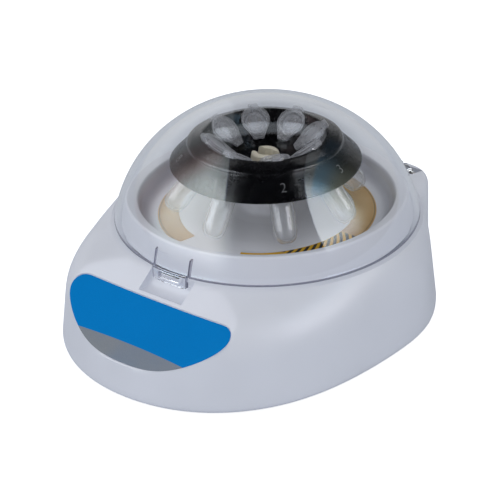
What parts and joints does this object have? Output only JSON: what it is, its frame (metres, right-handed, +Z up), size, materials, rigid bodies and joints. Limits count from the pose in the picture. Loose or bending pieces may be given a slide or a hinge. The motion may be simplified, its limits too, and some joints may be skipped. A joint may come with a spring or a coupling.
{
  "type": "laboratory mini centrifuge",
  "caption": "Benchtop mini centrifuge with an egg-shaped white housing, clear hinged dome lid with a latch tongue, black fixed-angle rotor holding capped microtubes, and a blue front label.",
  "frame": {"origin": "on the table plane under the middle of the outline; the rotor axis is 11.02 mm behind it", "axes": "+Z up along the rotor axis, -Y towards the front latch and label, +X to the right seen from the front"},
  "size_m": [0.1608, 0.1934, 0.0983],
  "materials": {
    "housing_white": "white ABS, satin moulded",
    "chamber_white": "white ABS, satin moulded",
    "base_grey": "pale grey ABS, matt",
    "lid_clear": "clear polycarbonate, polished",
    "rotor_black": "black acetal, glossy",
    "hub_cream": "cream nylon",
    "tube_clear": "translucent polypropylene",
    "label_front": "printed film, blue over grey",
    "label_chamber": "printed film, amber with black stripes",
    "steel": "zinc plated steel",
    "shaft_steel": "ground steel",
    "bracket_steel": "pressed steel",
    "rubber_black": "moulded rubber",
    "plastic_black": "black moulded plastic",
    "felt": "felt ring",
    "board_green": "solder mask",
    "wire_red": "PVC sleeve",
    "wire_black": "PVC sleeve"
  },
  "bodies": {
    "frame": {"upper_housing": "housing_white", "base_plate": "base_grey", "rubber_foot_1": "rubber_black", "base_screw_1": "steel", "rubber_foot_2": "rubber_black", "base_screw_2": "steel", "rubber_foot_3": "rubber_black", "base_screw_3": "steel", "rubber_foot_4": "rubber_black", "base_screw_4": "steel", "rotor_chamber": "chamber_white", "chamber_label": "label_chamber", "shaft_seal": "felt", "front_label": "label_front", "motor_can": "steel", "motor_end_cap": "plastic_black", "motor_bracket": "bracket_steel", "motor_grommet_1": "rubber_black", "motor_screw_1": "steel", "motor_grommet_2": "rubber_black", "motor_screw_2": "steel", "motor_grommet_3": "rubber_black", "motor_screw_3": "steel", "lid_hinge_pin": "shaft_steel", "lid_hinge_spring": "steel", "circuit_board": "board_green", "lid_switch_body": "plastic_black", "power_switch_frame": "plastic_black", "dc_inlet": "plastic_black", "motor_lead_1": "wire_red", "motor_lead_2": "wire_black", "supply_lead_1": "wire_red", "supply_lead_2": "wire_black"},
    "spindle": {"motor_shaft": "shaft_steel", "rotor_hub": "hub_cream", "rotor": "rotor_black", "tube_1": "tube_clear", "tube_2": "tube_clear", "tube_3": "tube_clear", "tube_4": "tube_clear", "tube_5": "tube_clear", "tube_6": "tube_clear", "tube_7": "tube_clear", "tube_8": "tube_clear"},
    "lid_dome": {"lid": "lid_clear"},
    "latch": {"lid_latch_tongue": "lid_clear"},
    "rocker": {"power_switch_rocker": "plastic_black"},
    "switch_lever": {"lid_switch_lever": "steel"}
  },
  "joints": [
    {"name": "rotor_spin", "type": "hinge", "parent": "frame", "child": "spindle", "pos_m": [0, 0.01102, 0.06], "axis": [0, 0, 1], "continuous": true},
    {"name": "lid_hinge", "type": "hinge", "parent": "frame", "child": "lid_dome", "pos_m": [0, 0.08682, 0.04], "axis": [-1, 0, 0], "range_deg": [0, 80]},
    {"name": "latch_flex", "type": "hinge", "parent": "lid_dome", "child": "latch", "pos_m": [0, -0.05498, 0.0558], "axis": [-1, 0, 0], "range_deg": [0, 7]},
    {"name": "power_rocker", "type": "hinge", "parent": "frame", "child": "rocker", "pos_m": [-0.015, 0.09172, 0.022], "axis": [1, 0, 0], "range_deg": [-6, 6]},
    {"name": "lid_switch_lever_swing", "type": "hinge", "parent": "frame", "child": "switch_lever", "pos_m": [0.036, -0.05048, 0.0386], "axis": [0, 1, 0], "range_deg": [0, 6.4]}
  ],
  "couplings": [
    {"joint": "lid_switch_lever_swing", "follows": "lid_hinge", "ratio": 0.08}
  ]
}
